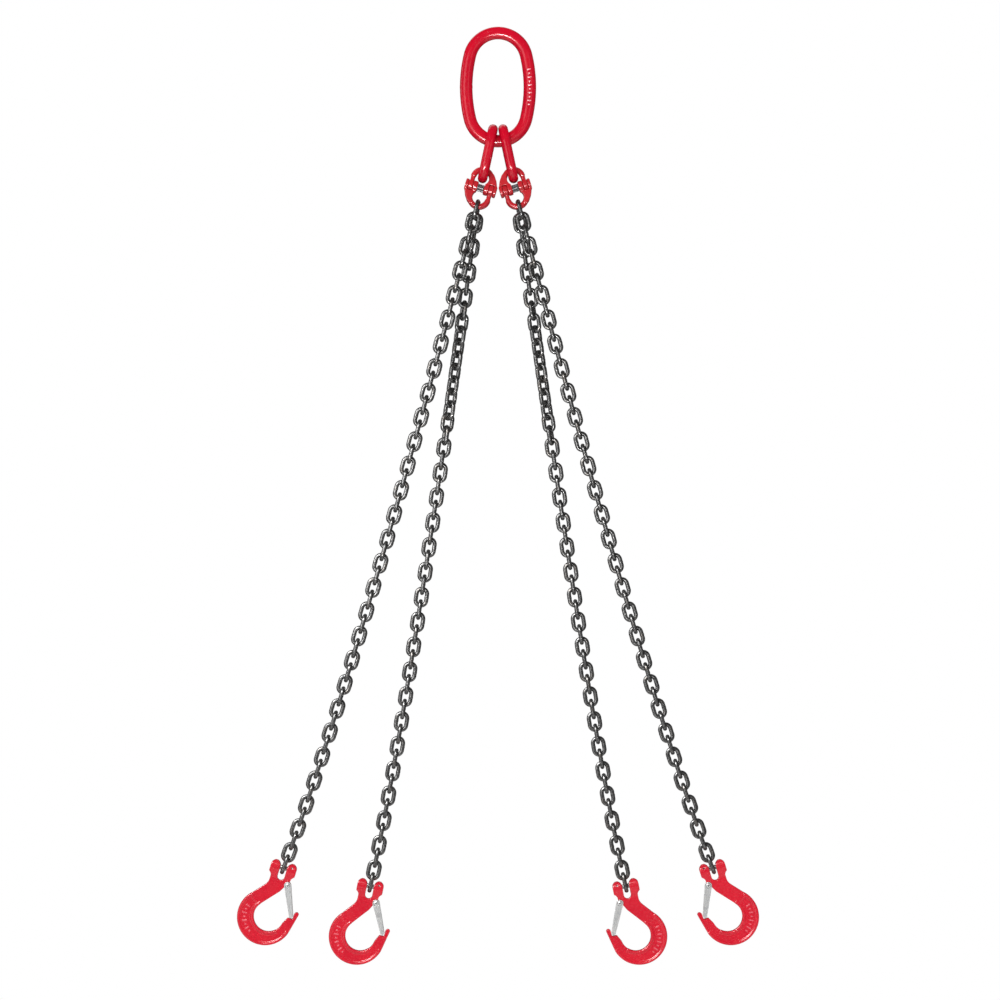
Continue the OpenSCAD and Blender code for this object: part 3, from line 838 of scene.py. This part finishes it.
def hooks(looks):
    at = {leg: hook_frame(leg) for leg in LEGS}
    in_latch = latch_frame_in_hook()
    body = forged("hook_body", "hook_outer_left_body", at["outer"], 0.56, 10, hook_hold, hook_stamp,
                  looks["hook"], ears_rounded)
    latch = forged("hook_latch", "hook_outer_left_latch", at["outer"] @ in_latch, 0.28, 9, latch_hold,
                   latch_groove, looks["zinc"])
    groove = SPRING_PIN_AT[0]
    ends = pin_end(CLEVIS_PIN_HALF, CLEVIS_PIN_R, 0.8, 1.2)
    neck = [
        (groove - GROOVE_HALF, CLEVIS_PIN_R - 0.2), (groove - GROOVE_HALF + 0.15, GROOVE_R + 0.2),
        (groove - GROOVE_HALF + 0.4, GROOVE_R), (groove + GROOVE_HALF - 0.4, GROOVE_R),
        (groove + GROOVE_HALF - 0.15, GROOVE_R + 0.2), (groove + GROOVE_HALF, CLEVIS_PIN_R - 0.2),
    ]
    clevis_pin = lathed("hook_clevis_pin", mirrored_profile(ends, neck), 48, looks["pin"])
    spring_pin = split_tube("hook_spring_pin", SPRING_PIN_HALF, SPRING_PIN_BORE,
                            lambda angles: 0 * angles + SPRING_PIN_R, 26, 40, 0.2, looks["pin"])
    rivet = lathed("hook_latch_rivet", rivet_profile(), 48, looks["zinc"], crease=50)
    # Painted shade: the dimple at each of the rivet's ends and its rim are marked below zero for the zinc finish
    # to darken.
    paint_on(rivet, "raised", [-0.2 * (np.hypot(*v.co.yz) < 1.35 * MM) for v in rivet.vertices])
    half = spring_route()
    whole = [(x, -y, z) for x, y, z in reversed(half[1:])] + half
    spring = wire_along("hook_latch_spring", whole, 0.6, 12, looks["spring"])
    for leg in LEGS:
        for side in SIDES:
            name = f"hook_{leg}_{side}_"
            place(body, name + "body", at[leg], side)
            place(clevis_pin, name + "clevis_pin", at[leg], side)
            place(spring_pin, name + "spring_pin", at[leg] @ local(SPRING_PIN_AT) @ X_TO_Y, side)
            place(rivet, name + "latch_rivet", at[leg] @ local(PIVOT) @ X_TO_Y, side)
            place(latch, name + "latch", at[leg] @ in_latch, side)
            place(spring, name + "latch_spring", at[leg] @ in_latch, side)


# ---- Studio ----

def softbox(name, where, aim, size, power, lights=True, mirrored=True, spread=180):
    """A soft box that may be left out of the surfaces' own light or of their reflections.

    spread is the width of its beam in degrees.
    """
    light = bpy.data.lights.new(name, "AREA")
    light.shape = "RECTANGLE"
    light.size, light.size_y = size
    light.energy = power
    light.spread = radians(spread)
    lamp = bpy.data.objects.new(name, light)
    lamp.visible_diffuse, lamp.visible_glossy, lamp.visible_camera = lights, mirrored, False
    bpy.context.scene.collection.objects.link(lamp)
    lamp.location = where
    lamp.rotation_euler = (Vector(aim) - Vector(where)).to_track_quat("-Z", "Y").to_euler()


def studio():
    """White surroundings, seen darker in reflections, with soft boxes above and below the camera."""
    scene = bpy.context.scene
    scene.view_settings.view_transform = "Standard"
    world = bpy.data.worlds.new("studio")
    scene.world = world
    world.use_nodes = True
    tree = world.node_tree
    tree.nodes.clear()
    ray = tree.nodes.new("ShaderNodeLightPath")
    sky = {}
    for name, level in (("seen", 1.0), ("mirrored", 0.05), ("filling", 0.46)):
        sky[name] = tree.nodes.new("ShaderNodeBackground")
        sky[name].inputs["Color"].default_value = (1, 1, 1, 1)
        sky[name].inputs["Strength"].default_value = level
    glossy, camera = tree.nodes.new("ShaderNodeMixShader"), tree.nodes.new("ShaderNodeMixShader")
    output = tree.nodes.new("ShaderNodeOutputWorld")
    for source, target in (
        (ray.outputs["Is Glossy Ray"], glossy.inputs[0]), (sky["filling"].outputs[0], glossy.inputs[1]),
        (sky["mirrored"].outputs[0], glossy.inputs[2]), (ray.outputs["Is Camera Ray"], camera.inputs[0]),
        (glossy.outputs[0], camera.inputs[1]), (sky["seen"].outputs[0], camera.inputs[2]),
        (camera.outputs[0], output.inputs["Surface"]),
    ):
        tree.links.new(source, target)

    middle = (0, 0, -0.7)
    hooks_middle = (0, 0, -1.5)
    softbox("key", (-0.9, -2.4, 1.9), middle, (1.5, 0.9), 52, mirrored=False)
    softbox("front", (0.2, -4.5, -0.9), hooks_middle, (1.2, 2.2), 42, mirrored=False)
    softbox("low_gleam", (-0.4, -2.4, -1.45), (0, 0, -0.05), (3.2, 0.5), 16, lights=False, spread=42)
    softbox("left_gleam", (-2.3, -3.1, -0.8), middle, (2.2, 3.4), 42, lights=False)
    softbox("right_gleam", (2.3, -3.1, -0.8), middle, (1.2, 3.4), 10, lights=False)
    softbox("hook_gleam", (-0.8, -1.0, -0.3), hooks_middle, (1.6, 0.7), 15, lights=False, spread=80)
    softbox("left_edge", (-2.6, 0.2, -0.4), middle, (0.5, 2.4), 7)
    softbox("right_edge", (2.6, -0.6, -0.6), middle, (0.5, 2.4), 6, mirrored=False)
    softbox("rim", (-0.5, 2.0, 1.4), middle, (2.4, 1.4), 8)


def floor():
    """A plain pale disc under the hooks."""
    sides, radius, drop = 96, 1.5, 0.22
    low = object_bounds()[0]
    turn = np.arange(sides) * 2 * pi / sides
    rim = np.stack([np.cos(turn) * radius, np.sin(turn) * radius, 0 * turn + low[2] - drop], 1) / MM
    f = Finish("floor_white")
    tone = f.mix(f.noise(220, 2), (0.86, 0.86, 0.86), (0.90, 0.90, 0.90))
    white = f.done(colour=tone, roughness=0.7, normal=f.bump(f.noise(1.5), 0.02))
    disc = bpy.data.objects.new("floor", mesh_of("floor", rim, [list(range(sides))], white))
    bpy.context.scene.collection.objects.link(disc)
    disc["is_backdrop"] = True


def camera():
    """A long lens level with the sling's middle, square to its front."""
    lens = bpy.data.cameras.new("camera")
    lens.sensor_width, lens.lens = 36, 194.6
    lens.clip_end = 60
    eye = bpy.data.objects.new("camera", lens)
    bpy.context.scene.collection.objects.link(eye)
    eye.location = (0.0033, -9, -0.767)
    eye.rotation_euler = (pi / 2, 0, 0)
    bpy.context.scene.camera = eye


camera()
studio()
looks = finishes()
master_link(looks["link"])
intermediate_links(looks["link"])
couplings(looks)
chains(looks["chain"])
hooks(looks)
floor()
